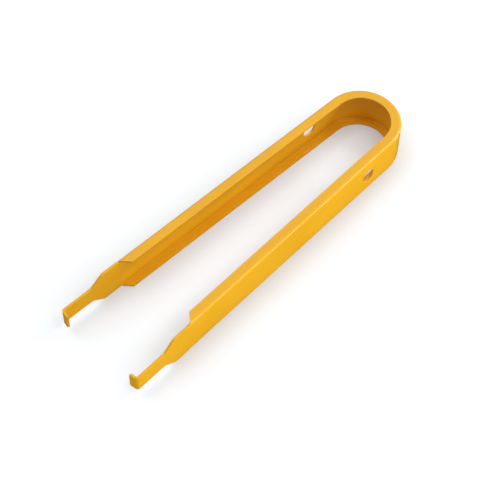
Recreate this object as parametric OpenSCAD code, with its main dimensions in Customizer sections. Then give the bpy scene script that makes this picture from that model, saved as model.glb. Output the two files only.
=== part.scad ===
// Keyboard switch puller: one strip of spring steel folded into a flanged U with two hooked prongs.
// Millimetres. Z is up, the bend is at +Y, the hooks are at -Y, and the base is at Z = 0.

/* [Body] */
// Height of the body across both flanges
body_height = 10; // [7:0.5:14]
// Thickness of the steel sheet
sheet = 0.5; // [0.3:0.05:0.6]
// Outer radius of the U bend
bend_radius = 9.2; // [7:0.1:14]
// Angle by which each arm opens away from parallel
splay = 1.82; // [0.5:0.01:4]

/* [Flanges] */
// Width of each flange, from the outer face of the arm
flange_width = 2.4; // [1.5:0.05:3.5]
// Outer radius of the fold between web and flange
fold_radius = 0.65; // [0.65:0.05:1.2]
// Where the flanges end, along the arm from the centre of the bend
flange_length = 65.9; // [40:0.1:90]
// Angle of the slanted cut at the end of a flange
flange_cut = 42; // [20:1:55]

/* [Prongs] */
// How far the blade edge lies inside the body height, top and bottom
blade_inset = 0.25; // [0:0.05:0.5]
// Length of full-height blade past the flanges
blade_length = 4.55; // [3:0.05:8]
// Length of the slanted shoulder
shoulder_length = 3.15; // [2.5:0.05:5]
// Radius of the four shoulder corners
shoulder_radius = 1.6; // [0.5:0.1:1.8]
// Height of the prong
prong_height = 4.6; // [3.5:0.1:6]
// Length of the prong, from the shoulder to the outside of the hook
prong_length = 8.2; // [5:0.1:12]

/* [Hooks] */
// Outer radius of the bend at the hook
hook_radius = 0.75; // [0.65:0.05:1.6]
// Angle through which the hook is bent
hook_angle = 82; // [60:1:90]
// How far the hook reaches in from the outer face
hook_reach = 2.1; // [2:0.05:3.5]
// Radius of the corners at the free end of the hook
hook_corner = 0.45; // [0.2:0.05:0.6]

/* [Cord holes] */
// Diameter of the hole in each arm
hole_diameter = 3.6; // [2:0.1:4.5]
// Distance of the hole along the arm from the centre of the bend
hole_distance = 7.9; // [5:0.1:20]
// Height of the middle of the hole above the base
hole_height = 5.15; // [4:0.05:6]

/* [View] */
// Which piece to draw

/* [Hidden] */
$fn = 96;
body_colour = [0.93, 0.67, 0.16];

// How far a cut runs past the face that it opens
margin = 2 * sheet;
// How far the blade laps the web of the channel
web_lap = 4 * sheet;
// How far a corner piece runs past the edges of its corner
edge_lap = sheet / 2;
fold_inner = fold_radius - sheet;
shoulder_start = flange_length + blade_length;
shoulder_end = shoulder_start + shoulder_length;
prong_tip = shoulder_end + prong_length;
blade_low = blade_inset;
blade_high = body_height - blade_inset;
prong_low = (body_height - prong_height) / 2;
prong_high = (body_height + prong_height) / 2;
shoulder_angle = atan((prong_low - blade_low) / shoulder_length);

// The hook bends about a line this far in and this far along the arm
hook_centre = prong_tip - hook_radius;
// Straight length of the hook past its bend
tab_length = (hook_reach - hook_radius * (1 - cos(hook_angle))) / sin(hook_angle);
// The foremost corner of the hook, in along the outer face and along the arm
corner_in = hook_reach;
corner_along = hook_centre + hook_radius * sin(hook_angle) + tab_length * cos(hook_angle);

// Foremost point of the puller, from the centre of the bend
front_y = sin(splay) * (bend_radius - corner_in) - cos(splay) * corner_along;
// Moves the middle of the length onto the origin
centre_y = -(bend_radius + front_y) / 2;

// Rectangle whose two outer corners, at x1, are rounded
module rounded_outside(x0, x1, z0, z1, r) {
    translate([x0, z0])
        square([x1 - x0 - r, z1 - z0]);
    translate([x0, z0 + r])
        square([x1 - x0, z1 - z0 - 2 * r]);
    translate([x1 - r, z0 + r])
        circle(r = r);
    translate([x1 - r, z1 - r])
        circle(r = r);
}

// Channel section, open towards the inside of the U
module channel_section() {
    difference() {
        rounded_outside(bend_radius - flange_width, bend_radius, 0, body_height, fold_radius);
        rounded_outside(bend_radius - flange_width - margin, bend_radius - sheet, sheet, body_height - sheet, fold_inner);
    }
}

// Piece between a corner p and the arc that rounds it; u and v run along the two edges from p.
// It runs past both edges, so that it cuts or fills them cleanly.
module corner_piece(p, u, v, r) {
    half = acos(u * v) / 2;
    bisector = (u + v) / norm(u + v);
    middle = p + bisector * r / sin(half);
    on_u = p + u * r / tan(half);
    on_v = p + v * r / tan(half);
    past = edge_lap / r;
    difference() {
        polygon([
            p - bisector * edge_lap / sin(half),
            on_u + (on_u - middle) * past,
            middle,
            on_v + (on_v - middle) * past
        ]);
        translate(middle)
            circle(r = r);
    }
}

// Both shoulder corners on one edge: dir is 1 for the upper edge and -1 for the lower one
module shoulder_corner(at_end, dir) {
    along = at_end ? shoulder_end : shoulder_start;
    level = at_end ? prong_high : blade_high;
    z = dir > 0 ? level : body_height - level;
    slant = [cos(shoulder_angle), -dir * sin(shoulder_angle)];
    if (at_end)
        corner_piece([along, z], [1, 0], -slant, shoulder_radius);
    else
        corner_piece([along, z], [-1, 0], slant, shoulder_radius);
}

// Side view of the flat blade and prong, along the arm and up, with a tongue that laps the web
module blade_outline() {
    difference() {
        polygon([
            [flange_length, blade_low],
            [shoulder_start, blade_low],
            [shoulder_end, prong_low],
            [corner_along + margin, prong_low],
            [corner_along + margin, prong_high],
            [shoulder_end, prong_high],
            [shoulder_start, blade_high],
            [flange_length, blade_high],
            [flange_length, body_height - fold_radius],
            [flange_length - web_lap, body_height - fold_radius],
            [flange_length - web_lap, fold_radius],
            [flange_length, fold_radius]
        ]);
        shoulder_corner(false, 1);
        shoulder_corner(false, -1);
    }
    shoulder_corner(true, 1);
    shoulder_corner(true, -1);
}

// Places a side view on the arm: its first axis runs to the hook and its thickness runs inwards
module on_arm(start, depth) {
    translate([start, 0, 0])
        rotate([90, 0, -90])
            linear_extrude(height = depth)
                children();
}

// Segment of a ring seen from above, as wide as the angle of the hook
module hook_ring() {
    far = 2 * hook_radius;
    intersection() {
        difference() {
            circle(r = hook_radius);
            circle(r = hook_radius - sheet);
        }
        polygon([[0, 0], [far, 0], [far, far], [far * cos(hook_angle), far * sin(hook_angle)]]);
    }
}

// Turns to the frame of the hook, where the free end runs along -Y
module at_hook() {
    translate([bend_radius - hook_radius, -hook_centre, 0])
        rotate([0, 0, -hook_angle])
            children();
}

// Blade, prong and hook seen from above: one strip with a rounded bend
module strip_plan() {
    translate([bend_radius - sheet, -hook_centre])
        square([sheet, hook_centre - flange_length + web_lap]);
    at_hook() {
        hook_ring();
        translate([hook_radius - sheet, -tab_length])
            square([sheet, tab_length]);
    }
}

// The two rounded corners at the free end of the hook
module hook_corner_cut() {
    at_hook()
        on_arm(hook_radius + margin, sheet + 2 * margin) {
            corner_piece([tab_length, prong_low], [-1, 0], [0, 1], hook_corner);
            corner_piece([tab_length, prong_high], [-1, 0], [0, -1], hook_corner);
        }
}

// Flat blade, tapered prong and the hook that catches under the clip of a switch
module prong() {
    difference() {
        intersection() {
            linear_extrude(height = body_height)
                strip_plan();
            on_arm(bend_radius + margin, hook_reach + 2 * margin)
                blade_outline();
        }
        hook_corner_cut();
    }
}

// Space removed past the slanted end of the flanges
module flange_end_cut() {
    inner = bend_radius - flange_width - margin;
    web = bend_radius - sheet;
    slope = tan(flange_cut);
    translate([0, 0, -margin])
        linear_extrude(height = body_height + 2 * margin)
            polygon([
                [web, -flange_length + sheet * slope],
                [web, -flange_length - margin],
                [inner, -flange_length - margin],
                [inner, -flange_length + (flange_width + margin) * slope]
            ]);
}

// Hole for a cord, square to the web of the arm
module cord_hole() {
    translate([bend_radius - sheet - margin, -hole_distance, hole_height])
        rotate([0, 90, 0])
            cylinder(h = sheet + 2 * margin, d = hole_diameter);
}

// One arm, from the end of the bend to the hook
module arm() {
    rotate([0, 0, splay]) {
        difference() {
            rotate([90, 0, 0])
                linear_extrude(height = flange_length)
                    channel_section();
            flange_end_cut();
            cord_hole();
        }
        prong();
    }
}

// The U bend between the arms
module bend() {
    rotate([0, 0, splay])
        rotate_extrude(angle = 180 - 2 * splay)
            channel_section();
}

// The whole puller, one folded strip
module puller_body() {
    color(body_colour)
        translate([0, centre_y, 0]) {
            bend();
            arm();
            mirror([1, 0, 0])
                arm();
        }
}

puller_body();
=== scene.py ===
import math
import bmesh
import bpy
from mathutils import Matrix, Vector


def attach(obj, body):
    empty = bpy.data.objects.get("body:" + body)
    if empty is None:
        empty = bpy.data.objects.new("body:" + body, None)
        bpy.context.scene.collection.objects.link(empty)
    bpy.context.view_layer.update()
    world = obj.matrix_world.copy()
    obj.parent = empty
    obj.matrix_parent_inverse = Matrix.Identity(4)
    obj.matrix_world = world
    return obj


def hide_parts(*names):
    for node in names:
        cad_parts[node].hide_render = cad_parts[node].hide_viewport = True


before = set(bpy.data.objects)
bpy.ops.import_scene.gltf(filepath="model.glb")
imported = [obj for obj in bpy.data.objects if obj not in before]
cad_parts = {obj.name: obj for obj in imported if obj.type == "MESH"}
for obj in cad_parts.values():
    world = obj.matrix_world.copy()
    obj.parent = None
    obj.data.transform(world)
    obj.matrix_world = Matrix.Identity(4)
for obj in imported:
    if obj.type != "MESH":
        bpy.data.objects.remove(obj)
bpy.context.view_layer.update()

mm = 0.001  # the strip, its coat and the place of the camera are given in millimetres


def linearColour(hexCode):
    # sRGB hex to linear red, green and blue, with full alpha
    parts = [int(hexCode[k:k + 2], 16) / 255 for k in (0, 2, 4)]
    return (*[c / 12.92 if c <= 0.04045 else ((c + 0.055) / 1.055) ** 2.4 for c in parts], 1.0)


def addNode(tree, kind, settings=None, links=None):
    # one node with its settings, its socket values and what feeds it; a socket is a name or a number
    node = tree.nodes.new(kind)
    for key, value in (settings or {}).items():
        if key in node.inputs:
            node.inputs[key].default_value = value
        else:
            setattr(node, key, value)
    for socket, source in (links or {}).items():
        tree.links.new(source, node.inputs[socket])
    return node


def newMaterial(name):
    material = bpy.data.materials.new(name)
    material.use_nodes = True
    material.node_tree.nodes.clear()
    return material, material.node_tree


def newObject(name, vertices, faces, materials, faceSlots):
    mesh = bpy.data.meshes.new(name)
    mesh.from_pydata([tuple(c * mm for c in v) for v in vertices], [], faces)
    for material in materials:
        mesh.materials.append(material)
    for index, slotIndex in enumerate(faceSlots):
        mesh.polygons[index].material_index = slotIndex
    mesh.validate()
    mesh.update()
    piece = bpy.data.objects.new(name, mesh)
    bpy.context.collection.objects.link(piece)
    return piece


# One strip of spring steel, the same size as the solid. Distances along an arm start at the
# centre of the bend, and all angles are in degrees.
strip = {
    "height": 10.0,
    "sheet": 0.5,
    "bendRadius": 9.2,
    "splay": 1.82,  # each arm opens by this much
    "flangeWidth": 2.4,
    "foldRadius": 0.65,
    "flangeLength": 65.9,
    "flangeCut": 42.0,
    "bladeInset": 0.25,
    "bladeLength": 4.55,
    "shoulderLength": 3.15,
    "shoulderRadius": 1.6,
    "prongHeight": 4.6,
    "prongLength": 8.2,
    "hookRadius": 0.75,
    "hookAngle": 82.0,
    "hookReach": 2.1,
    "hookCorner": 0.45,
    "holeDiameter": 3.6,
    "holeDistance": 7.9,
    "holeHeight": 5.15,
    "edgeRound": 0.1,  # sheared edges, tumbled and then coated
    "edgeSegments": 3,
    "edgeAngle": 50.0,  # edges that turn by more than this are rounded
    # from here on, how the strip is meshed
    "bendSteps": 88,
    "foldSteps": 8,
    "flangeRows": (0.0, 0.14, 0.4, 0.75, 1.15, 1.48),  # in from the free edge of a flange
    "rowsUnderWindow": 4,
    "rowsOverWindow": 2,
    "windowHalf": 2.76,  # half the side of the square patch that holds a round hole
    "windowCells": 12,
    "holeRings": 7,
    "ringEase": 1.5,  # crowds the rings towards the hole
    "slantRun": 6.0,  # the flange rows turn to the slanted cut over this length
    "slantEase": 1.5,
    "keptAngle": 45.0,  # a fold runs on into the blade up to this angle
    "flattenRun": 0.7,  # and goes flat over this length
    "shoulderMargin": 0.9,
    "cornerRun": 0.6,  # the last stretch of a hook, where its corners are rounded
    "hookEndDepth": 0.8,
}


def stripGeometry(p):
    # the lengths that follow from the ones above, with the main angles in radians
    g = dict(p)
    g["splay"] = math.radians(p["splay"])
    g["bend"] = math.radians(p["hookAngle"])
    g["slope"] = math.tan(math.radians(p["flangeCut"]))
    g["slantStart"] = p["flangeLength"] - p["slantRun"]
    g["shoulderStart"] = p["flangeLength"] + p["bladeLength"]
    g["shoulderEnd"] = g["shoulderStart"] + p["shoulderLength"]
    g["hookCentre"] = g["shoulderEnd"] + p["prongLength"] - p["hookRadius"]
    g["hookBendEnd"] = g["hookCentre"] + p["hookRadius"] * g["bend"]
    straightReach = p["hookReach"] - p["hookRadius"] * (1 - math.cos(g["bend"]))
    tabLength = straightReach / math.sin(g["bend"])
    g["stripEnd"] = g["hookBendEnd"] + tabLength
    g["cornerStart"] = g["stripEnd"] - p["cornerRun"]
    g["middle"] = p["height"] / 2
    g["webHalf"] = g["middle"] - p["foldRadius"]
    g["bladeHalf"] = g["middle"] - p["bladeInset"]
    g["prongHalf"] = p["prongHeight"] / 2
    # the foremost corner of the hook puts the middle of the whole length at Y = 0
    alongArm = g["hookCentre"] + p["hookRadius"] * math.sin(g["bend"]) + tabLength * math.cos(g["bend"])
    offAxis = p["bendRadius"] - p["hookReach"]
    front = math.sin(g["splay"]) * offAxis - math.cos(g["splay"]) * alongArm
    g["centreY"] = -(p["bendRadius"] + front) / 2
    return g


# The camera looks down on the tool from in front and to the right.
cameraView = {
    "azimuth": 44.157,
    "elevation": 56.197,
    "roll": 0.845,
    "lens": 112.26,
    "sensor": 36.0,
    "clip": (0.01, 10.0),  # metres
    "eye": (129.313, -172.57, 279.599),  # from the centre of the bend
}


def makeCamera(p, centreY):
    az, el, roll = (math.radians(p[k]) for k in ("azimuth", "elevation", "roll"))
    back = Vector((math.sin(az) * math.cos(el), -math.cos(az) * math.cos(el), math.sin(el)))
    level = Vector((math.cos(az), math.sin(az), 0))
    upright = back.cross(level)
    right = level * math.cos(roll) + upright * math.sin(roll)
    up = upright * math.cos(roll) - level * math.sin(roll)
    data = bpy.data.cameras.new("viewCamera")
    data.lens = p["lens"]
    data.sensor_width = p["sensor"]
    data.clip_start, data.clip_end = p["clip"]
    camera = bpy.data.objects.new("viewCamera", data)
    bpy.context.collection.objects.link(camera)
    turn = Matrix((right, up, back)).transposed().to_4x4()
    eye = Vector(p["eye"]) + Vector((0, centreY, 0))
    camera.matrix_world = Matrix.Translation(eye * mm) @ turn
    bpy.context.scene.camera = camera


makeCamera(cameraView, stripGeometry(strip)["centreY"])
print("stage: camera")


def smooth(t):
    t = min(max(t, 0.0), 1.0)
    return t * t * (3 - 2 * t)


def spread(a, b, count):
    # even steps from a, which is left out, to b
    return [a + (b - a) * k / count for k in range(1, count + 1)]


def halfHeight(g, s):
    # half the height of blade, shoulder and prong, with both shoulder corners rounded
    drop = g["bladeHalf"] - g["prongHalf"]
    angle = math.atan2(drop, g["shoulderLength"])
    r = g["shoulderRadius"]
    cut = r * math.tan(angle / 2)
    a, b = g["shoulderStart"], g["shoulderEnd"]
    if s <= a - cut:
        return g["bladeHalf"]
    if s < a + cut * math.cos(angle):
        return g["bladeHalf"] - r + math.sqrt(r * r - (s - a + cut) ** 2)
    if s < b - cut * math.cos(angle):
        return g["bladeHalf"] - drop * (s - a) / g["shoulderLength"]
    if s < b + cut:
        return g["prongHalf"] + r - math.sqrt(r * r - (b + cut - s) ** 2)
    return g["prongHalf"]


def outerPoint(g, side, s, inward, z):
    # point and outward direction on an arm; past the prong the strip follows the hook
    along, depth, turn = s, 0.0, 0.0
    if s > g["hookCentre"]:
        turn = min((s - g["hookCentre"]) / g["hookRadius"], g["bend"])
        past = max(s - g["hookBendEnd"], 0.0)
        along = g["hookCentre"] + g["hookRadius"] * math.sin(turn) + past * math.cos(turn)
        depth = g["hookRadius"] * (1 - math.cos(turn)) + past * math.sin(turn)
    outX, outY = math.cos(turn), -math.sin(turn)
    x = g["bendRadius"] - depth - inward * outX
    y = -along - inward * outY
    c, k = math.cos(g["splay"]), math.sin(g["splay"])
    point = Vector((side * (x * c - y * k), x * k + y * c + g["centreY"], z))
    return point, Vector((side * (outX * c - outY * k), outX * k + outY * c, 0))


def sectionRows(g):
    # rows across the strip: inward depth, height, the outward and upward parts of the direction,
    # and whether the row runs on along the blade
    r, h = g["foldRadius"], g["height"]
    flange = [g["flangeWidth"] - edge for edge in g["flangeRows"]]
    fold = []
    for angle in [0] + spread(0, 90, g["foldSteps"]):
        out, up = math.cos(math.radians(angle)), math.sin(math.radians(angle))
        fold.append((r - r * out, r * up, out, up, angle <= g["keptAngle"]))
    rows = [(depth, 0.0, 0, -1, False) for depth in flange]
    rows += [(depth, r - rise, out, -up, isKept) for depth, rise, out, up, isKept in reversed(fold)]
    windowRow = len(rows) + g["rowsUnderWindow"] - 1
    low, high = g["holeHeight"] - g["windowHalf"], g["holeHeight"] + g["windowHalf"]
    heights = spread(r, low, g["rowsUnderWindow"])
    heights += spread(low, high, g["windowCells"])
    heights += spread(high, h - r, g["rowsOverWindow"])[:-1]
    rows += [(0.0, z, 1, 0, True) for z in heights]
    rows += [(depth, h - r + rise, out, up, isKept) for depth, rise, out, up, isKept in fold]
    rows += [(depth, h, 0, 1, False) for depth in reversed(flange)]
    return rows, windowRow


def armStations(g):
    # distances along an arm, closer together wherever the outline turns
    stretches = [
        # name, where it ends and how many faces it is long
        ("root", g["holeDistance"] - g["windowHalf"], 5),
        ("window", g["holeDistance"] + g["windowHalf"], g["windowCells"]),
        ("channel", g["slantStart"], 40),
        ("slant", g["flangeLength"], 14),
        ("blade", g["shoulderStart"] - g["shoulderMargin"], 9),
        ("shoulders", g["shoulderEnd"] + g["shoulderMargin"], 26),
        ("prong", g["hookCentre"], 14),
        ("hookBend", g["hookBendEnd"], 14),
        ("hookTab", g["cornerStart"], 4),
        ("hookCorners", g["stripEnd"], 8),
    ]
    stations = [0.0]
    ends = {}
    for name, end, count in stretches:
        stations += spread(stations[-1], end, count)
        ends[name] = len(stations) - 1
    return stations, ends


def bendVertex(g, step, depth, z, outPart, upPart):
    turn = g["splay"] + (math.pi - 2 * g["splay"]) * step / g["bendSteps"]
    out = Vector((math.cos(turn), math.sin(turn), 0))
    point = out * (g["bendRadius"] - depth) + Vector((0, g["centreY"], z))
    return point, (out * outPart + Vector((0, 0, upPart))).normalized()


def channelVertex(g, side, s, depth, z, outPart, upPart):
    # flanges and folds turn from square to the slanted cut
    ease = max(0.0, (s - g["slantStart"]) / g["slantRun"]) ** g["slantEase"]
    point, out = outerPoint(g, side, s - g["slope"] * depth * ease, depth, z)
    return point, (out * outPart + Vector((0, 0, upPart))).normalized()


def bladeVertex(g, side, s, depth, z, outPart, upPart):
    # past the flanges, what is left of each fold flattens into the blade
    rise = flatRise = z - g["middle"]
    if abs(rise) > g["webHalf"]:
        share = math.degrees(math.asin(abs(upPart))) / g["keptAngle"]
        flatRise = math.copysign(g["webHalf"] + (g["bladeHalf"] - g["webHalf"]) * share, rise)
    flat = smooth((s - g["flangeLength"]) / g["flattenRun"])
    half = halfHeight(g, s)
    rise = (rise + (flatRise - rise) * flat) * half / g["bladeHalf"]
    # the two corners at the free end of the hook are rounded
    intoCorner = abs(rise) - (half - g["hookCorner"])
    if intoCorner > 0:
        drop = g["hookCorner"] - math.sqrt(max(g["hookCorner"] ** 2 - intoCorner ** 2, 0.0))
        s -= drop * smooth((s - g["cornerStart"]) / g["cornerRun"])
    point, out = outerPoint(g, side, s, depth * (1 - flat), g["middle"] + rise)
    direction = out * (outPart + (1 - outPart) * flat) + Vector((0, 0, upPart * (1 - flat)))
    return point, direction.normalized()


def put(skin, point, direction):
    # adds a point of the outer face and gives back its number
    skin["points"].append(point)
    skin["directions"].append(direction)
    return len(skin["points"]) - 1


def windowRing(first, row, cells):
    # the points round a square window, as column and row
    ring = [(first + k, row) for k in range(cells)]
    ring += [(first + cells, row + k) for k in range(cells)]
    ring += [(first + cells - k, row + cells) for k in range(cells)]
    ring += [(first, row + cells - k) for k in range(cells)]
    return ring


def fillWindow(g, skin, side, border, offsets):
    # rings of faces lead from the square window in to the round hole
    radius = g["holeDiameter"] / 2
    previous = border
    for k in range(1, g["holeRings"] + 1):
        t = 1 - (1 - k / g["holeRings"]) ** g["ringEase"]
        current = []
        for along, rise in offsets:
            share = 1 + (radius / math.hypot(along, rise) - 1) * t
            s, z = g["holeDistance"] + along * share, g["holeHeight"] + rise * share
            current.append(put(skin, *outerPoint(g, side, s, 0.0, z)))
        for m in range(len(current)):
            n = (m + 1) % len(current)
            skin["faces"].append([previous[m], previous[n], current[n], current[m]])
        previous = current


def outerSkin(g):
    # the outer face of the whole strip, in columns from one hook round the bend to the other
    rows, windowRow = sectionRows(g)
    stations, ends = armStations(g)
    skin = {"points": [], "directions": [], "faces": []}
    # side 1 is the right arm, 0 the bend and -1 the left arm
    columns = [(1, step) for step in reversed(range(len(stations)))]
    columns += [(0, step) for step in range(1, g["bendSteps"])]
    columns += [(-1, step) for step in range(len(stations))]
    index = {}
    for c, (side, step) in enumerate(columns):
        for j, (*place, isKept) in enumerate(rows):
            if side == 0:
                index[c, j] = put(skin, *bendVertex(g, step, *place))
            elif step <= ends["slant"]:
                index[c, j] = put(skin, *channelVertex(g, side, stations[step], *place))
            elif isKept:
                index[c, j] = put(skin, *bladeVertex(g, side, stations[step], *place))

    cells = g["windowCells"]
    windows = {1: columns.index((1, ends["window"])), -1: columns.index((-1, ends["root"]))}
    for c in range(len(columns) - 1):
        inWindow = any(first <= c < first + cells for first in windows.values())
        for j in range(len(rows) - 1):
            corners = [index.get(key) for key in ((c, j), (c + 1, j), (c + 1, j + 1), (c, j + 1))]
            isOpen = inWindow and windowRow <= j < windowRow + cells
            if not isOpen and None not in corners:
                skin["faces"].append(corners)
    for side, first in windows.items():
        ring = windowRing(first, windowRow, cells)
        offsets = []
        for c, j in ring:
            step, z = columns[c][1], rows[j][1]
            offsets.append((stations[step] - g["holeDistance"], z - g["holeHeight"]))
        fillWindow(g, skin, side, [index[key] for key in ring], offsets)
    return skin


def markShadedCutEnds(g, piece):
    # the darker edge coat, partly a thin coat and partly painted shade, stays only on the slanted flange
    # ends, which face forward away from the lamps, and on the ends of the hooks
    work = bmesh.new()
    work.from_mesh(piece.data)
    loose = [v for v in work.verts if not v.link_faces]
    bmesh.ops.delete(work, geom=loose, context="VERTS")
    bmesh.ops.recalc_face_normals(work, faces=work.faces)
    hookEnd = min(v.co.y for v in work.verts) + g["hookEndDepth"] * mm
    flangeFront = (g["centreY"] - g["flangeLength"] - g["sheet"]) * mm
    sideways, forwards = 0.7, -0.5  # how far the normals of such ends point that way
    for face in work.faces:
        face.smooth = True
        place = face.calc_center_median()
        # faces kept for the painted shade: hook ends and flange ends that point forward, away from the
        # lamps
        isHookEnd = place.y < hookEnd and abs(face.normal.x) > sideways
        isFlangeEnd = place.y > flangeFront and face.normal.y < forwards
        if not isHookEnd and not isFlangeEnd:
            face.material_index = 0
    work.to_mesh(piece.data)
    work.free()


def buildStrip(p, coat, edgeCoatWithPaintedShade):
    g = stripGeometry(p)
    skin = outerSkin(g)
    outer, count = skin["faces"], len(skin["points"])
    # the inner face lies one sheet thickness in, and a sheared rim joins the two
    inner = [point - out * g["sheet"] for point, out in zip(skin["points"], skin["directions"])]
    faces = outer + [[v + count for v in reversed(face)] for face in outer]
    slots = [0] * len(faces)
    edges = dict.fromkeys(edge for face in outer for edge in zip(face, face[1:] + face[:1]))
    for a, b in edges:
        if (b, a) not in edges:
            faces.append([b, a, a + count, b + count])
            slots.append(1)
    piece = newObject("foldedStrip", skin["points"] + inner, faces, [coat, edgeCoatWithPaintedShade], slots)
    markShadedCutEnds(g, piece)
    bevel = piece.modifiers.new("edgeRound", "BEVEL")
    bevel.width = g["edgeRound"] * mm
    bevel.segments = g["edgeSegments"]
    bevel.limit_method = "ANGLE"
    bevel.angle_limit = math.radians(g["edgeAngle"])
    bevel.harden_normals = False
    bevel.material = 0
    return piece


def satinLacquer(name, p):
    # Stoved lacquer over spring steel: an even satin coat whose gloss is soft and slightly mottled
    # by orange peel, so folds carry a broad warm highlight and never a sharp one.
    material, tree = newMaterial(name)
    place = addNode(tree, "ShaderNodeTexCoord")
    cloud = addNode(tree, "ShaderNodeTexNoise",
                    {"Scale": 1 / (p["cloud"] * mm), "Detail": 3.0, "Roughness": 0.5},
                    {"Vector": place.outputs["Object"]})
    colour = addNode(tree, "ShaderNodeValToRGB", {}, {"Fac": cloud.outputs["Fac"]})
    for stop, position, code in zip(colour.color_ramp.elements, p["cloudStops"], (p["low"], p["high"])):
        stop.position = position
        stop.color = linearColour(code)
    peel = addNode(tree, "ShaderNodeTexNoise",
                   {"Scale": 1 / (p["peel"] * mm), "Detail": 2.0, "Roughness": 0.45},
                   {"Vector": place.outputs["Object"]})
    relief = addNode(tree, "ShaderNodeBump",
                     {"Strength": p["peelStrength"], "Distance": p["peelDepth"] * mm},
                     {"Height": peel.outputs["Fac"]})
    gloss = addNode(tree, "ShaderNodeMapRange",
                    {"From Min": 0.3, "From Max": 0.7, "To Min": p["glossiest"], "To Max": p["dullest"]},
                    {"Value": cloud.outputs["Fac"]})
    shader = addNode(tree, "ShaderNodeBsdfPrincipled",
                     {"Metallic": 0.0, "IOR": 1.5, "Specular IOR Level": 0.5},
                     {"Base Color": colour.outputs["Color"], "Roughness": gloss.outputs["Result"],
                      "Normal": relief.outputs["Normal"]})
    addNode(tree, "ShaderNodeOutputMaterial", {}, {"Surface": shader.outputs["BSDF"]})
    return material


lacquer = {
    "low": "F0B016",
    "high": "F5B61A",
    "cloud": 14.0,  # slow drift of film thickness along an arm
    "cloudStops": (0.35, 0.65),  # where the two colours lie in the noise
    "peel": 0.9,  # orange peel cell, as sprayed
    "peelDepth": 0.012,
    "peelStrength": 0.35,
    "glossiest": 0.14,  # roughness of the smoothest patches
    "dullest": 0.23,
}

cutEndCoatWithPaintedShade = {
    "low": "D99A1C",  # the coat draws thin over a sheared edge, and this darker colour also paints in shade
    "high": "E2A31E",
    "cloud": 3.0,
    "cloudStops": (0.35, 0.65),
    "peel": 0.5,
    "peelDepth": 0.01,
    "peelStrength": 0.3,
    "glossiest": 0.46,
    "dullest": 0.55,
}

# the second coat is a thin coat plus painted shade on the cut ends that face away from the lamps
body = buildStrip(strip, satinLacquer("satinLacqueredSpringSteel", lacquer),
                  satinLacquer("thinLacquerAndPaintedShadeOnCutEnds", cutEndCoatWithPaintedShade))
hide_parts("puller_body")
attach(body, "root")
print("stage: strip", len(body.data.polygons), "faces")

# A table of glowing paper, with painted shade under the strip, among soft boxes. Places and sizes are in
# metres, power in watts.
studio = {
    "floorSize": 6.0,
    "floor": "B5B3B1",
    "glow": "EBF3FA",
    "openGlow": 0.72,  # so bright that open floor goes to plain white
    "paintedShadeGlow": 0.07,  # painted shade: the glow left close under the strip
    # how far out from the strip the painted shade reaches
    "paintedShadeReach": 0.013,
    "skyFront": 0.25,
    "skyBack": 0.38,
    "skyRight": 0.12,  # added towards the right
    "below": 0.12,  # share of the sky that is left under the horizon
    "horizonBlur": 0.05,
    "lamps": [
        # name, place, width, height and power of each soft box
        ("edgeStrip", (0.73, 0.4, 0.355), 0.32, 0.09, 1.3),  # draws the line along the upper fold
        ("sideBox", (0.22, 0.31, 0.03), 0.2, 0.05, 0.54),  # low, for the outer face of the right arm
        ("rightBox", (0.56, 0.1, 1.14), 0.4, 0.4, 2.8),
        ("rearBox", (0.415, 0.85, 0.85), 0.4, 0.4, 2.9),
        ("topBox", (-0.34, -0.35, 1.15), 0.5, 0.5, 3.0),
        ("backBox", (-0.5, 0.55, 1.05), 1.2, 1.2, 2.8),
    ],
}


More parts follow.
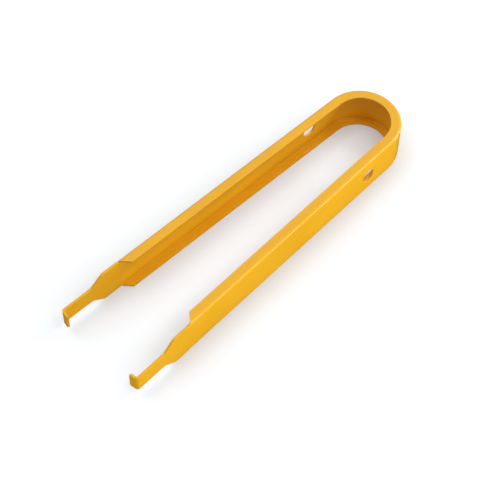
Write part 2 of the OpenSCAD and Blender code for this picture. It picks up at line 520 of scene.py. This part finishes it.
def makeFloor(p):
    # Matt paper with an even glow: plain white in the open, with a painted soft grey shade where the
    # strip stands over it.
    # The glow stands for the light of a wide white room, and an occlusion lookup dims it into painted
    # shade where the strip hides that room.
    material, tree = newMaterial("glowingPaperFloorWithPaintedShade")
    cover = addNode(tree, "ShaderNodeAmbientOcclusion", {"Distance": p["paintedShadeReach"], "samples": 8})
    glowWithPaintedShade = addNode(tree, "ShaderNodeMapRange", {"To Min": p["paintedShadeGlow"], "To Max": p["openGlow"]},
                     {"Value": cover.outputs["AO"]})
    shader = addNode(tree, "ShaderNodeBsdfPrincipled",
                     {"Base Color": linearColour(p["floor"]), "Roughness": 0.9, "Specular IOR Level": 0.1,
                      "Emission Color": linearColour(p["glow"])},
                     {"Emission Strength": glowWithPaintedShade.outputs["Result"]})
    addNode(tree, "ShaderNodeOutputMaterial", {}, {"Surface": shader.outputs["BSDF"]})
    bpy.ops.mesh.primitive_plane_add(size=p["floorSize"], location=(0, 0, 0))
    floor = bpy.context.object
    floor.name = "floor"
    floor.data.materials.append(material)
    floor.visible_glossy = False  # keeps its glare off the steep sides


def makeSky(p):
    # the room is brighter behind the bend and on the right than in front of the hooks
    world = bpy.data.worlds.new("studio")
    world.use_nodes = True
    tree = world.node_tree
    direction = addNode(tree, "ShaderNodeTexCoord")
    axes = addNode(tree, "ShaderNodeSeparateXYZ", {}, {"Vector": direction.outputs["Generated"]})
    level = addNode(tree, "ShaderNodeMapRange",
                    {"From Min": -1.0, "From Max": 1.0, "To Min": p["skyFront"], "To Max": p["skyBack"]},
                    {"Value": axes.outputs["Y"]})
    glare = addNode(tree, "ShaderNodeMapRange",
                    {"From Min": 0.1, "From Max": 1.0, "To Min": 0.0, "To Max": p["skyRight"]},
                    {"Value": axes.outputs["X"]})
    horizon = addNode(tree, "ShaderNodeMapRange",
                      {"From Min": -p["horizonBlur"], "From Max": p["horizonBlur"],
                       "To Min": p["below"], "To Max": 1.0},
                      {"Value": axes.outputs["Z"]})
    both = addNode(tree, "ShaderNodeMath", {"operation": "ADD"},
                   {0: level.outputs["Result"], 1: glare.outputs["Result"]})
    strength = addNode(tree, "ShaderNodeMath", {"operation": "MULTIPLY"},
                       {0: both.outputs["Value"], 1: horizon.outputs["Result"]})
    background = tree.nodes["Background"]
    background.inputs["Color"].default_value = (1, 1, 1, 1)
    tree.links.new(strength.outputs["Value"], background.inputs["Strength"])
    bpy.context.scene.world = world


def makeLamps(p):
    for name, place, width, height, power in p["lamps"]:
        data = bpy.data.lights.new(name, "AREA")
        data.shape = "RECTANGLE"
        data.size = width
        data.size_y = height
        data.energy = power
        lamp = bpy.data.objects.new(name, data)
        bpy.context.collection.objects.link(lamp)
        lamp.location = place
        lamp.rotation_mode = "QUATERNION"
        lamp.rotation_quaternion = (-Vector(place)).to_track_quat("-Z", "Y")  # faces the strip


makeFloor(studio)
makeSky(studio)
makeLamps(studio)
bpy.context.scene.view_settings.view_transform = "Standard"
print("stage: studio")
